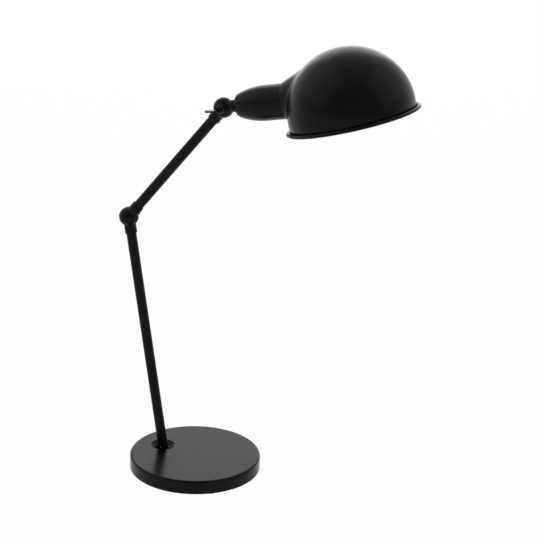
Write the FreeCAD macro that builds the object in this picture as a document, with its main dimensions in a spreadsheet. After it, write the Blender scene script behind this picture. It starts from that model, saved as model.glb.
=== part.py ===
import FreeCAD, Part
import math
import os
import types

import Sketcher

# Dome shade desk lamp. Millimetres and degrees.
# Frame: origin on the desk under the centre of the round base, +Z up, +X from the
# arm towards the shade, +Y away from the side that is usually seen.
# Each group is drawn in a frame of its own and then placed: the lower arm and the
# upper arm run along their local Z, the head runs along its local X.

SIZES = {
    # round base
    "base_radius": 95.0,
    "base_top": 21.7,
    "base_edge": 3.0,
    "shell_wall": 1.5,
    "foot_height": 2.0,
    "foot_radius": 7.15,
    "foot_edge": 0.6,
    "foot_stem": 3.0,
    "foot_inset": 9.5,
    "plate_sheet": 1.0,
    "plate_play": 0.3,
    "weight_play": 3.5,
    "weight_thickness": 9.0,
    "weight_well": 14.5,
    "weight_well_back": 22.0,
    "weight_well_front": 25.0,
    "post_radius": 4.0,
    "screw_circle": 60.0,
    "screw_radius": 2.0,
    "screw_head_radius": 3.6,
    "screw_head": 1.4,
    "screw_reach": 6.0,
    # dished recess that the lower arm stands in
    "dish_reach": 54.8,
    "dish_radius": 18.3,
    "dish_floor": 11.0,
    "dish_depth": 5.5,
    "dish_rim": 1.6,
    "slot_back_travel": 5.85,
    "slot_front_travel": 1.15,
    "slot_play": 0.5,
    # tilting foot under the recess
    "pivot_height": 9.6,
    "eye_radius": 4.8,
    "eye_width": 7.0,
    "neck_front": 1.8,
    "ear_radius": 5.5,
    "ear_sheet": 2.5,
    "strap_sheet": 1.5,
    "strap_length": 27.0,
    "strap_width": 16.0,
    "friction_disc": 0.8,
    "disc_play": 0.05,
    "bolt_radius": 2.5,
    "bolt_head": 3.5,
    "bolt_flats": 8.0,
    "spring_washer": 1.0,
    "nut_height": 4.0,
    "rivet_radius": 1.5,
    "rivet_head": 0.8,
    # arms
    "lower_lean": 9.843,
    "lower_length": 361.4,
    "upper_elevation": 50.51,
    "upper_length": 236.17,
    "tube_radius": 7.25,
    "tube_wall": 1.0,
    "tube_start": 6.2,
    "plug_length": 18.0,
    "plug_pin_radius": 1.5,
    "plug_pin_height": 11.0,
    # ball knuckles
    "ball_radius": 14.15,
    "half_gap": 0.5,
    "sleeve_wall": 1.4,
    "sleeve_grip": 8.8,
    "sleeve_web": 1.45,
    "sleeve_edge": 0.6,
    "well_outer": 9.4,
    "well_inner": 4.6,
    "well_depth": 5.5,
    "ring_inner": 10.0,
    "ring_inset": 1.15,
    "ring_play": 0.03,
    "ball_flat_depth": 2.65,
    "set_screw_radius": 1.5,
    "set_screw_inset": 4.4,
    "set_screw_proud": 0.25,
    # clamp levers
    "lever_screw_radius": 3.0,
    "lever_screw_depth": 9.5,
    "lever_washer": 1.0,
    "lever_washer_radius": 7.0,
    "lever_hub_radius": 4.75,
    "lever_hub_end": 3.8,
    "lever_hub": 5.0,
    "lever_plate_step": 4.3,
    "lever_plate_width": 10.2,
    "lever_plate_thickness": 2.4,
    "lever_tip": 17.5,
    "lever_heel": 5.0,
    "lever_tip_round": 3.0,
    "lever_corner_round": 6.5,
    "lever_heel_round": 2.5,
    "elbow_lever_turn": 17.0,
    "head_lever_turn": 10.0,
    # cup behind the shade
    "head_elevation": 13.1,
    "cup_lift": 1.1,
    "stem_radius": 8.5,
    "cup_standoff": 8.65,
    "cup_room": 3.4,
    "cup_end": 103.0,
    "cup_wall": 1.2,
    "cup_nose_flat": 8.9,
    "cup_nose_round": 9.0,
    "cup_shoulder_slope": 20.0,
    "nipple_radius": 5.0,
    "nipple_bore": 3.9,
    "cup_nut_radius": 8.0,
    "cup_nut_height": 4.0,
    # lampholder, screw thread size E27
    "holder_start": 44.0,
    "holder_end": 110.0,
    "holder_radius": 19.6,
    "holder_back": 3.0,
    "holder_wall": 2.4,
    "holder_bridge": 76.0,
    "contact_bore": 3.0,
    "thread_radius": 13.45,
    "thread_sheet": 0.6,
    "thread_rest": 1.5,
    "contact_height": 4.0,
    "shade_ring_flange": 4.4,
    "shade_ring_width": 7.0,
    # bulb
    "bulb_radius": 30.0,
    "bulb_length": 105.0,
    "bulb_glass_wall": 1.0,
    "bulb_neck_grip": 10.0,
    "cap_length": 24.0,
    "cap_radius": 13.2,
    "cap_wall": 0.5,
    "cap_floor": 3.0,
    "button_radius": 4.8,
    "button_height": 1.5,
    # shade
    "dome_radius": 85.255,
    "nose_length": 7.745,
    "dome_drop": 21.2,
    "dome_pitch": 3.38,
    "dome_skirt": 12.2,
    "shade_sheet": 0.8,
    "bead_reach": 3.90943,
    "bead_radius": 2.5,
    "bead_turn": 0.8,
    "nose_start": 98.0,
    "nose_step": 2.3,
    "nose_rise": 25.0,
    "nose_bow": 80.0,
    "nose_lip": 3.0,
    "flare_top": 40.0,
    "flare_side": 14.0,
    "flare_bottom": 6.0,
    # lead
    "lead_radius": 1.4,
    "lead_hole": 1.9,
    "lead_offset": 2.9,
    "lead_front": 3.9,
    "grommet_height": 13.0,
    "grommet_bore": 2.6,
    "grommet_radius": 3.4,
    "grommet_flange": 4.6,
    "grommet_lip": 1.2,
    "grommet_depth": 5.0,
    "block_length": 16.0,
    "block_height": 7.0,
    # fits
    "pin_edge": 0.3,
    "fit": 0.05,
    "air": 0.3,
}

TURN = {
    "z": FreeCAD.Rotation(),
    "x": FreeCAD.Rotation(FreeCAD.Vector(0, 1, 0), 90),
    "y": FreeCAD.Rotation(FreeCAD.Vector(1, 0, 0), -90),
}

os.makedirs("parts", exist_ok=True)
doc = FreeCAD.newDocument("DomeShadeDeskLamp")


# ---------------------------------------------------------------- sizes


def number(amount):
    """The value of a size or of a plain number."""
    return amount.value if isinstance(amount, Size) else float(amount)


def words(amount):
    """The expression of a size or of a plain number."""
    return amount.text if isinstance(amount, Size) else f"({float(amount)!r})"


class Size:
    """A size with its value and the expression that works it out from the sheet."""

    def __init__(self, value, text):
        self.value = value
        self.text = text

    def __add__(self, other):
        return Size(self.value + number(other), f"({self.text} + {words(other)})")

    def __radd__(self, other):
        return Size(number(other) + self.value, f"({words(other)} + {self.text})")

    def __sub__(self, other):
        return Size(self.value - number(other), f"({self.text} - {words(other)})")

    def __rsub__(self, other):
        return Size(number(other) - self.value, f"({words(other)} - {self.text})")

    def __mul__(self, other):
        return Size(self.value * number(other), f"({self.text} * {words(other)})")

    def __rmul__(self, other):
        return Size(number(other) * self.value, f"({words(other)} * {self.text})")

    def __truediv__(self, other):
        return Size(self.value / number(other), f"({self.text} / {words(other)})")

    def __rtruediv__(self, other):
        return Size(number(other) / self.value, f"({words(other)} / {self.text})")

    def __neg__(self):
        return Size(-self.value, f"(0 - {self.text})")


def sine(angle):
    return Size(math.sin(math.radians(number(angle))), f"sin({words(angle)} * 1 deg)")


def cosine(angle):
    return Size(math.cos(math.radians(number(angle))), f"cos({words(angle)} * 1 deg)")


def root(amount):
    return Size(math.sqrt(number(amount)), f"sqrt({words(amount)})")


def fill_sheet():
    """Write every size into the sheet and hand the sizes back by name."""
    sheet = doc.addObject("Spreadsheet::Sheet", "Sizes")
    found = types.SimpleNamespace()
    for row, (name, value) in enumerate(SIZES.items(), start=1):
        sheet.set(f"A{row}", name)
        sheet.set(f"B{row}", str(value))
        sheet.setAlias(f"B{row}", name)
        setattr(found, name, Size(value, f"Sizes.{name}"))
    doc.recompute()
    return found


# ---------------------------------------------------------------- solids


def placed(item, start, along):
    """Turn a primitive so that it runs along x, y or z, and bind where it starts."""
    item.Placement = FreeCAD.Placement(FreeCAD.Vector(), TURN[along])
    for letter, amount in zip("xyz", start):
        item.setExpression(f"Placement.Base.{letter}", words(amount))
    return item


def primitive(kind, name, sizes, start=(0, 0, 0), along="z"):
    item = doc.addObject(f"Part::{kind}", name)
    for prop, amount in sizes.items():
        item.setExpression(prop, words(amount))
    return placed(item, start, along)


def rod(name, radius, length, start=(0, 0, 0), along="z"):
    return primitive("Cylinder", name, {"Radius": radius, "Height": length}, start, along)


def block(name, low, spans):
    length, width, height = spans
    sizes = {"Length": length, "Width": width, "Height": height}
    return primitive("Box", name, sizes, low)


def ball(name, radius, centre=(0, 0, 0), along="z"):
    return primitive("Sphere", name, {"Radius": radius}, centre, along)


def hexagon(name, flats, height, start, along):
    item = doc.addObject("Part::Prism", name)
    item.Polygon = 6
    item.setExpression("Circumradius", words(flats / math.sqrt(3)))
    item.setExpression("Height", words(height))
    return placed(item, start, along)


def fuse(name, *items, refine=True):
    item = doc.addObject("Part::MultiFuse", name)
    item.Shapes = list(items)
    item.Refine = refine
    return item


def cut(name, base, *tools):
    """Take the tools off the base one after another."""
    item = base
    for place, tool in enumerate(tools):
        step = doc.addObject("Part::Cut", f"{name}_{place}")
        step.Base = item
        step.Tool = tool
        item = step
    return item


def common(name, *items):
    item = doc.addObject("Part::MultiCommon", name)
    item.Shapes = list(items)
    return item


def rounded(name, base, chosen):
    """Round the edges for which chosen(edge) gives radii at the edge's two ends."""
    doc.recompute()
    edges = []
    for place, edge in enumerate(base.Shape.Edges, start=1):
        radii = chosen(edge)
        if radii:
            edges.append((place, *radii))
    if not edges:
        raise RuntimeError(f"{name}: no edge to round")
    item = doc.addObject("Part::Fillet", name)
    item.Base = base
    item.Edges = edges
    return item


def points_on(edge, count=7):
    first = edge.FirstParameter
    step = (edge.LastParameter - first) / (count - 1)
    return [edge.valueAt(first + step * place) for place in range(count)]


def ring_at(radius, height):
    """Tell whether an edge is the circle of this radius about Z at this height."""

    def test(edge):
        return all(
            abs(math.hypot(point.x, point.y) - number(radius)) < 0.001
            and abs(point.z - number(height)) < 0.001
            for point in points_on(edge)
        )

    return test


# ---------------------------------------------------------------- sketches


def line_to(x, y):
    return (x, y, None, 0)


def arc_to(x, y, radius, turn):
    """An arc of under a half circle that ends at x, y: turn 1 bends left, -1 right."""
    return (x, y, radius, turn)


def arc_between(start, end, radius, turn):
    """The arc of this radius from start to end, drawn anticlockwise for the sketch."""
    chord = end - start
    half = chord.Length / 2
    left = FreeCAD.Vector(-chord.y, chord.x, 0) / chord.Length
    rise = math.sqrt(max(radius**2 - half**2, 0)) * turn
    centre = (start + end) / 2 + left * rise
    first, last = (start, end) if turn > 0 else (end, start)
    angles = [math.atan2(p.y - centre.y, p.x - centre.x) for p in (first, last)]
    if angles[1] < angles[0]:
        angles[1] += 2 * math.pi
    circle = Part.Circle(centre, FreeCAD.Vector(0, 0, 1), radius)
    return Part.ArcOfCircle(circle, *angles)


def outline(body, name, steps, plane="XZ_Plane"):
    """A closed sketch whose corners and radii are bound to sizes."""
    sketch = body.newObject("Sketcher::SketchObject", name)
    support = [item for item in body.Origin.OriginFeatures if item.Role == plane]
    sketch.AttachmentSupport = [(support[0], "")]
    sketch.MapMode = "FlatFace"
    corners = [FreeCAD.Vector(number(x), number(y), 0) for x, y, _, _ in steps]
    ends = []
    for place, (_, _, radius, turn) in enumerate(steps):
        start = corners[place - 1]
        end = corners[place]
        if radius is None:
            sketch.addGeometry(Part.LineSegment(start, end), False)
            ends.append((1, 2))
        else:
            sketch.addGeometry(arc_between(start, end, number(radius), turn), False)
            ends.append((1, 2) if turn > 0 else (2, 1))
    for place, (x, y, radius, _) in enumerate(steps):
        after = (place + 1) % len(steps)
        last = ends[place][1]
        joined = Sketcher.Constraint("Coincident", place, last, after, ends[after][0])
        sketch.addConstraint(joined)
        for kind, amount in (("DistanceX", x), ("DistanceY", y)):
            fixed = Sketcher.Constraint(kind, -1, 1, place, last, number(amount))
            row = sketch.addConstraint(fixed)
            sketch.setExpression(f"Constraints[{row}]", words(amount))
        if radius is not None:
            row = sketch.addConstraint(Sketcher.Constraint("Radius", place, number(radius)))
            sketch.setExpression(f"Constraints[{row}]", words(radius))
    return sketch


def turned(name, steps, about="z"):
    """A body turned about x or z from an outline in the plane of x and z."""
    body = doc.addObject("PartDesign::Body", name)
    sketch = outline(body, name + "_outline", steps)
    turning = body.newObject("PartDesign::Revolution", name + "_turning")
    turning.Profile = sketch
    turning.ReferenceAxis = (sketch, ["V_Axis" if about == "z" else "H_Axis"])
    turning.Angle = 360
    sketch.Visibility = False
    return body


def pin(name, radius, length):
    """A round pin along +Z from the origin, its ends broken by a small chamfer."""
    edge = size.pin_edge
    steps = [
        line_to(0, 0),
        line_to(radius - edge, 0),
        line_to(radius, edge),
        line_to(radius, length - edge),
        line_to(radius - edge, length),
        line_to(0, length),
    ]
    return turned(name, steps)


# ---------------------------------------------------------------- places


def turn_about_y(angle):
    return FreeCAD.Rotation(FreeCAD.Vector(0, 1, 0), float(number(angle)))


def at(x, y, z, rotation=None):
    base = FreeCAD.Vector(number(x), number(y), number(z))
    return FreeCAD.Placement(base, rotation or FreeCAD.Rotation())


NODES = []


def node(item, label, place=None):
    """Name a finished sub-part and put it in its place in the lamp."""
    item.Label = label
    item.Placement = place or FreeCAD.Placement()
    NODES.append(item)


size = fill_sheet()


# sizes that follow from others
foot_circle = size.base_radius - size.foot_inset
weight_radius = size.base_radius - size.shell_wall - size.weight_play
slot_half = size.tube_radius + size.slot_play
sleeve_radius = size.tube_radius + size.sleeve_wall
sleeve_floor = size.ball_radius + size.sleeve_web
sleeve_end = sleeve_floor + size.sleeve_grip
set_screw_place = sleeve_end - size.set_screw_inset
ring_outer = size.ball_radius - size.ring_inset
ball_flat = size.ball_radius - size.ball_flat_depth
lever_plate_start = ball_flat + size.lever_washer + size.lever_plate_step
cup_start = size.ball_radius + size.cup_standoff
cup_radius = size.holder_radius + size.cup_room + size.cup_wall
nose_radius = cup_radius + size.nose_step
dome_reach = size.nose_start + size.nose_length + size.dome_radius

pivot_back = size.dish_reach - (size.base_top - size.pivot_height) * (
    sine(size.lower_lean) / cosine(size.lower_lean)
)
LOWER = at(-pivot_back, 0, size.pivot_height, turn_about_y(-size.lower_lean))
ELBOW = LOWER * at(0, 0, size.lower_length)
UPPER = FreeCAD.Placement(ELBOW.Base, turn_about_y(90 - size.upper_elevation))
KNUCKLE = UPPER * at(0, 0, size.upper_length)
HEAD = FreeCAD.Placement(KNUCKLE.Base, turn_about_y(-size.head_elevation))
FLIP = at(0, 0, 0, turn_about_y(180))


# ---------------------------------------------------------------- base


def screw_places():
    """Three screws round the base, the first on the side of the shade."""
    return [
        (size.screw_circle * math.cos(turn), size.screw_circle * math.sin(turn))
        for turn in (0, math.radians(115), math.radians(-115))
    ]


def base_shell():
    inner = size.base_radius - size.shell_wall
    under = size.base_top - size.shell_wall
    edge_inside = size.base_edge - size.shell_wall
    steps = [
        line_to(size.base_radius, size.foot_height),
        line_to(size.base_radius, size.base_top - size.base_edge),
        arc_to(size.base_radius - size.base_edge, size.base_top, size.base_edge, 1),
        line_to(0, size.base_top),
        line_to(0, under),
        line_to(inner - edge_inside, under),
        arc_to(inner, under - edge_inside, edge_inside, -1),
        line_to(inner, size.foot_height),
    ]
    cover = turned("cover", steps)
    wall = size.shell_wall
    centre = -size.dish_reach
    floor = size.base_top - size.dish_depth
    cone_sizes = {
        "Radius1": size.dish_floor + wall,
        "Radius2": size.dish_radius + wall,
        "Height": size.dish_depth + wall / 2,
    }
    bowl = primitive("Cone", "bowl", cone_sizes, (centre, 0, floor - wall))
    posts = [
        rod(
            f"post_{place}",
            size.post_radius,
            under - post_foot() + wall / 2,
            (x, y, post_foot()),
        )
        for place, (x, y) in enumerate(screw_places())
    ]
    hollow_sizes = {
        "Radius1": size.dish_floor,
        "Radius2": size.dish_radius,
        "Height": size.dish_depth,
    }
    hollow = primitive("Cone", "hollow", hollow_sizes, (centre, 0, floor))
    taps = [
        rod(
            f"tap_{place}",
            size.screw_radius + size.fit,
            size.screw_reach + 1,
            (x, y, post_foot()),
        )
        for place, (x, y) in enumerate(screw_places())
    ]
    outlet = rod(
        "outlet",
        size.grommet_radius + size.fit,
        size.shell_wall * 3,
        (-size.base_radius - 1, 0, size.grommet_height),
        "x",
    )
    solid = fuse("cover_with_bowl", cover, bowl, *posts)
    open_dish = cut("cover_cut", solid, hollow, arm_slot(), outlet, *taps)
    rim = ring_about_dish(size.dish_radius, size.base_top)
    return rounded("base_shell_rounded", open_dish, rim)


def post_foot():
    """Height at which the posts under the cover meet the weight."""
    return size.foot_height + size.plate_sheet + size.weight_thickness


def ring_about_dish(radius, height):
    centre = -number(size.dish_reach)

    def test(edge):
        on_ring = all(
            abs(math.hypot(point.x - centre, point.y) - number(radius)) < 0.001
            and abs(point.z - number(height)) < 0.001
            for point in points_on(edge)
        )
        return (number(size.dish_rim), number(size.dish_rim)) if on_ring else None

    return test


def arm_slot():
    """The rounded slot in the dish's floor that the tube leans back and forth in."""
    half = slot_half
    low = size.base_top - size.dish_depth - size.shell_wall * 2
    height = size.base_top
    back = -pivot_back - size.slot_back_travel
    front = -pivot_back + size.slot_front_travel
    middle = block("slot_middle", (back, -half, low), (front - back, half * 2, height))
    ends = [
        rod("slot_back_end", half, height, (back, 0, low)),
        rod("slot_front_end", half, height, (front, 0, low)),
    ]
    return fuse("slot", middle, *ends)


def base_weight():
    low = size.foot_height + size.plate_sheet
    disc = rod("weight_disc", weight_radius, size.weight_thickness, (0, 0, low))
    well = block(
        "weight_well_box",
        (-pivot_back - size.weight_well_back, -size.weight_well, low - 1),
        (
            size.weight_well_back + size.weight_well_front,
            size.weight_well * 2,
            size.weight_thickness + 2,
        ),
    )
    channel = block(
        "weight_channel",
        (-size.base_radius, -size.grommet_flange - 1, low - 1),
        (
            size.base_radius - pivot_back,
            (size.grommet_flange + 1) * 2,
            size.weight_thickness + 2,
        ),
    )
    holes = [
        rod(
            f"weight_hole_{place}",
            size.screw_radius + size.air,
            size.weight_thickness + 2,
            (x, y, low - 1),
        )
        for place, (x, y) in enumerate(screw_places())
    ]
    return cut("base_weight_cut", disc, well, channel, *holes)


def foot_places():
    reach = foot_circle * math.sqrt(0.5)
    return [(reach * x, reach * y) for x in (1, -1) for y in (1, -1)]


def bottom_plate():
    low = size.foot_height
    radius = size.base_radius - size.shell_wall - size.plate_play
    disc = rod("plate_disc", radius, size.plate_sheet, (0, 0, low))
    holes = [
        rod(f"plate_foot_hole_{i}", size.foot_stem + size.fit, 3, (x, y, low - 1))
        for i, (x, y) in enumerate(foot_places())
    ]
    holes += [
        rod(f"plate_screw_hole_{i}", size.screw_radius + size.air, 3, (x, y, low - 1))
        for i, (x, y) in enumerate(screw_places())
    ]
    holes += [
        rod(f"plate_rivet_hole_{i}", size.rivet_radius + size.fit, 3, (x, y, low - 1))
        for i, (x, y) in enumerate(rivet_places())
    ]
    return cut("bottom_plate_cut", disc, *holes)


def rubber_feet():
    feet = []
    for place, (x, y) in enumerate(foot_places()):
        pad = rod(f"foot_pad_{place}", size.foot_radius, size.foot_height, (x, y, 0))
        stem = rod(
            f"foot_stem_{place}",
            size.foot_stem,
            size.foot_height + size.plate_sheet,
            (x, y, 0),
        )
        foot = fuse(f"foot_{place}", pad, stem)
        centre = FreeCAD.Vector(number(x), number(y), 0)
        feet.append(rounded(f"foot_rounded_{place}", foot, foot_edge_at(centre)))
    return fuse("rubber_feet_set", *feet)


def foot_edge_at(centre):
    radius = number(size.foot_radius)

    def test(edge):
        on_edge = all(
            abs(math.hypot(p.x - centre.x, p.y - centre.y) - radius) < 0.001
            and abs(p.z) < 0.001
            for p in points_on(edge)
        )
        return (number(size.foot_edge), number(size.foot_edge)) if on_edge else None

    return test


def base_screws():
    screws = []
    low = size.foot_height - size.screw_head
    shank = size.screw_head + size.plate_sheet + size.weight_thickness + size.screw_reach
    for place, (x, y) in enumerate(screw_places()):
        head = rod(f"screw_head_{place}", size.screw_head_radius, size.screw_head, (x, y, low))
        stem = rod(f"screw_shank_{place}", size.screw_radius, shank, (x, y, low))
        screws.append(fuse(f"screw_{place}", head, stem))
    return fuse("base_screws_set", *screws)


def cord_grommet():
    outside = -size.base_radius - size.grommet_lip
    length = size.grommet_lip + size.shell_wall + size.grommet_depth
    steps = [
        line_to(outside, size.grommet_flange - 0.6),
        arc_to(outside + 0.6, size.grommet_flange, 0.6, -1),
        line_to(-size.base_radius, size.grommet_flange),
        line_to(-size.base_radius, size.grommet_radius),
        line_to(outside + length, size.grommet_radius),
        line_to(outside + length, size.grommet_bore),
        line_to(outside, size.grommet_bore),
    ]
    return turned("grommet", steps, about="x")


# ---------------------------------------------------------------- wiring in the base


def block_corner():
    """Low corner of the terminal block, on top of the weight."""
    return (-pivot_back + size.weight_well_front - 12, size.weight_well + 8, post_foot())


def terminal_block():
    low = block_corner()
    length = size.block_length
    body = block("terminal_body", low, (length, length, size.block_height))
    bores = [
        rod(
            f"terminal_bore_{i}",
            size.lead_radius + size.fit,
            length + 2,
            (low[0] + length * share, low[1] - 1, low[2] + size.block_height / 2),
            "y",
        )
        for i, share in enumerate((0.3, 0.7))
    ]
    wells = [
        rod(
            f"terminal_well_{i}",
            size.plug_pin_radius + size.fit,
            size.block_height,
            (x, y, low[2] + size.block_height * 0.75),
        )
        for i, (x, y) in enumerate(terminal_screw_places())
    ]
    return cut("terminal_block_cut", body, *bores, *wells)


def terminal_screw_places():
    low = block_corner()
    length = size.block_length
    return [(low[0] + length * a, low[1] + length * b) for a in (0.3, 0.7) for b in (0.25, 0.75)]


def terminal_screws():
    low = block_corner()[2] + size.block_height * 0.75
    return fuse(
        "terminal_screws_set",
        *[
            rod(f"terminal_screw_{i}", size.plug_pin_radius, size.block_height / 4, (x, y, low))
            for i, (x, y) in enumerate(terminal_screw_places())
        ],
    )


def lead(name, points):
    """A round lead along straight runs joined by tangent arcs."""
    spots = [FreeCAD.Vector(*[number(amount) for amount in point]) for point in points]
    edges = []
    here = spots[0]
    for before, corner, after in zip(spots, spots[1:], spots[2:]):
        arriving = (corner - before).normalize()
        leaving = (after - corner).normalize()
        half_turn = arriving.getAngle(leaving) / 2
        reach = 0.45 * min((corner - before).Length, (after - corner).Length)
        radius = reach / math.tan(half_turn)
        start = corner - arriving * reach
        end = corner + leaving * reach
        inward = (leaving - arriving).normalize()
        middle = corner + inward * (radius / math.cos(half_turn) - radius)
        edges.append(Part.LineSegment(here, start).toShape())
        edges.append(Part.Arc(start, middle, end).toShape())
        here = end
    edges.append(Part.LineSegment(here, spots[-1]).toShape())
    path = Part.Wire(edges)
    facing = (spots[1] - spots[0]).normalize()
    ring = Part.Circle(spots[0], facing, number(size.lead_radius)).toShape()
    solid = path.makePipeShell([Part.Wire([ring])], True, False)
    item = doc.addObject("Part::Feature", name + "_solid")
    item.Shape = solid
    return item


def base_lead():
    low = block_corner()
    x = low[0] + size.block_length * 0.3
    level = low[2] + size.block_height / 2
    end = 8.0
    points = [
        (x, low[1] + 5, level),
        (x, low[1] - 6, level),
        (x, low[1] - 15, level - 3),
        (x - 2, 6, size.pivot_height + 1),
        (-pivot_back + end + 5, 0, size.pivot_height),
        (-pivot_back + end, 0, size.pivot_height),
    ]
    return lead("base_lead", points)


# ---------------------------------------------------------------- tilting foot


def ear_start():
    return size.eye_width / 2 + size.friction_disc + size.disc_play * 2


def rivet_places():
    reach = size.strap_length / 2 - size.rivet_radius * 2
    return [(-pivot_back, -reach), (-pivot_back, reach)]


def pivot_bracket():
    low = size.foot_height + size.plate_sheet
    width = size.strap_width
    strap = block(
        "strap",
        (-pivot_back - width / 2, -size.strap_length / 2, low),
        (width, size.strap_length, size.strap_sheet),
    )
    ears = []
    for name, y in (("near", -ear_start() - size.ear_sheet), ("far", ear_start())):
        foot = block(
            f"ear_foot_{name}",
            (-pivot_back - size.ear_radius, y, low),
            (size.ear_radius * 2, size.ear_sheet, size.pivot_height - low),
        )
        start = (-pivot_back, y, size.pivot_height)
        top = rod(f"ear_top_{name}", size.ear_radius, size.ear_sheet, start, "y")
        ears += [foot, top]
    solid = fuse("bracket_solid", strap, *ears)
    start = (-pivot_back, -size.strap_length, size.pivot_height)
    bore = rod("bracket_bore", size.bolt_radius + size.fit, size.strap_length * 2, start, "y")
    holes = [
        rod(f"strap_hole_{i}", size.rivet_radius + size.fit, 4, (x, y, low - 1))
        for i, (x, y) in enumerate(rivet_places())
    ]
    return cut("bracket_cut", solid, bore, *holes)


def bracket_rivets():
    low = size.foot_height - size.rivet_head
    grip = size.plate_sheet + size.strap_sheet
    rivets = []
    for i, (x, y) in enumerate(rivet_places()):
        parts = [
            rod(f"rivet_foot_{i}", size.rivet_radius * 1.7, size.rivet_head, (x, y, low)),
            rod(f"rivet_shank_{i}", size.rivet_radius, grip + size.rivet_head * 2, (x, y, low)),
            rod(
                f"rivet_top_{i}",
                size.rivet_radius * 1.7,
                size.rivet_head,
                (x, y, size.foot_height + grip),
            ),
        ]
        rivets.append(fuse(f"rivet_{i}", *parts))
    return fuse("bracket_rivets_set", *rivets)


def bolt_end():
    """Where the far ear's outer face lies, from the middle plane."""
    return ear_start() + size.ear_sheet


def pivot_bolt():
    start = -bolt_end() - size.bolt_head
    reach = bolt_end() * 2 + size.bolt_head + size.spring_washer + size.nut_height + 1
    centre = (-pivot_back, start, size.pivot_height)
    head = hexagon("bolt_head_hex", size.bolt_flats, size.bolt_head, centre, "y")
    shank = rod("bolt_shank", size.bolt_radius, reach, centre, "y")
    return fuse("pivot_bolt_solid", head, shank)


def pivot_nut():
    start = (-pivot_back, bolt_end() + size.spring_washer, size.pivot_height)
    body = hexagon("nut_hex", size.bolt_flats, size.nut_height, start, "y")
    bore = rod("nut_bore", size.bolt_radius + size.fit, size.nut_height, start, "y")
    return cut("pivot_nut_cut", body, bore)


def flat_ring(name, outer, inner, thickness, start, along="y"):
    ring = rod(name + "_disc", outer, thickness, start, along)
    hole = rod(name + "_hole", inner, thickness, start, along)
    return cut(name + "_cut", ring, hole)


def pivot_spring_washer():
    start = (-pivot_back, bolt_end(), size.pivot_height)
    outer = size.bolt_flats / 2
    inner = size.bolt_radius + size.fit
    ring = flat_ring("spring_washer", outer, inner, size.spring_washer, start)
    gap = block(
        "washer_split",
        (-pivot_back, bolt_end() - 1, size.pivot_height - 0.4),
        (size.bolt_flats, size.spring_washer + 2, 0.8),
    )
    return cut("spring_washer_split", ring, gap)


def pivot_friction_discs():
    discs = []
    outer = size.eye_radius - 0.2
    inner = size.bolt_radius + size.fit
    near = -size.eye_width / 2 - size.disc_play - size.friction_disc
    far = size.eye_width / 2 + size.disc_play
    for name, y in (("near", near), ("far", far)):
        start = (-pivot_back, y, size.pivot_height)
        discs.append(flat_ring(f"disc_{name}", outer, inner, size.friction_disc, start))
    return fuse("friction_discs", *discs)


# ---------------------------------------------------------------- lower arm


def tube_bore():
    return size.tube_radius - size.tube_wall


def tube_stop():
    """Distance from a ball's centre to the end of the tube in its sleeve."""
    return sleeve_floor + size.air


def plug_pin_hole(name):
    start = (0, -size.tube_radius * 2, size.plug_pin_height)
    length = size.tube_radius * 4
    return rod(name, size.plug_pin_radius + size.fit / 2, length, start, "y")


def arm_foot():
    half = size.eye_width / 2
    eye = rod("eye", size.eye_radius, size.eye_width, (0, -half, 0), "y")
    neck = block(
        "neck",
        (-size.eye_radius, -half, 0),
        (size.eye_radius + size.neck_front, size.eye_width, size.tube_start + 2),
    )
    plug = rod("plug", tube_bore() - size.fit, size.plug_length, (0, 0, size.tube_start))
    solid = fuse("arm_foot_solid", eye, neck, plug)
    start = (0, -size.eye_width, 0)
    bore = rod("eye_bore", size.bolt_radius + size.fit, size.eye_width * 2, start, "y")
    way = rod(
        "plug_way",
        size.lead_radius + size.air,
        size.plug_length * 2,
        (size.lead_front, 0, size.eye_radius),
    )
    return cut("arm_foot_cut", solid, bore, way, plug_pin_hole("plug_hole"))


def foot_pin():
    return pin("foot_pin_body", size.plug_pin_radius, (size.tube_radius - size.air) * 2)


def tube(name, start, end):
    outside = rod(name + "_outside", size.tube_radius, end - start, (0, 0, start))
    inside = rod(name + "_inside", tube_bore(), end - start, (0, 0, start))
    return outside, inside


def lower_tube():
    outside, inside = tube("lower", size.tube_start, size.lower_length - tube_stop())
    return cut("lower_tube_cut", outside, inside, plug_pin_hole("lower_tube_hole"))


def set_screw_length():
    """A grub screw reaches from the tube to just outside the sleeve."""
    return sleeve_radius + size.set_screw_proud - size.tube_radius - size.fit


def set_screw_start(centre, away):
    height = centre + set_screw_place * away
    return (size.tube_radius + size.fit, 0, height)


def lower_lead():
    top = size.lower_length
    points = [
        (size.lead_front, 0, size.eye_radius),
        (size.lead_front, 0, size.tube_start + size.plug_length + 12),
        (0, -size.lead_offset, top - sleeve_end - 20),
        (0, -size.lead_offset, top - size.well_inner - 0.8),
    ]
    return lead("lower_lead", points)


# ---------------------------------------------------------------- knuckles


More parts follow.
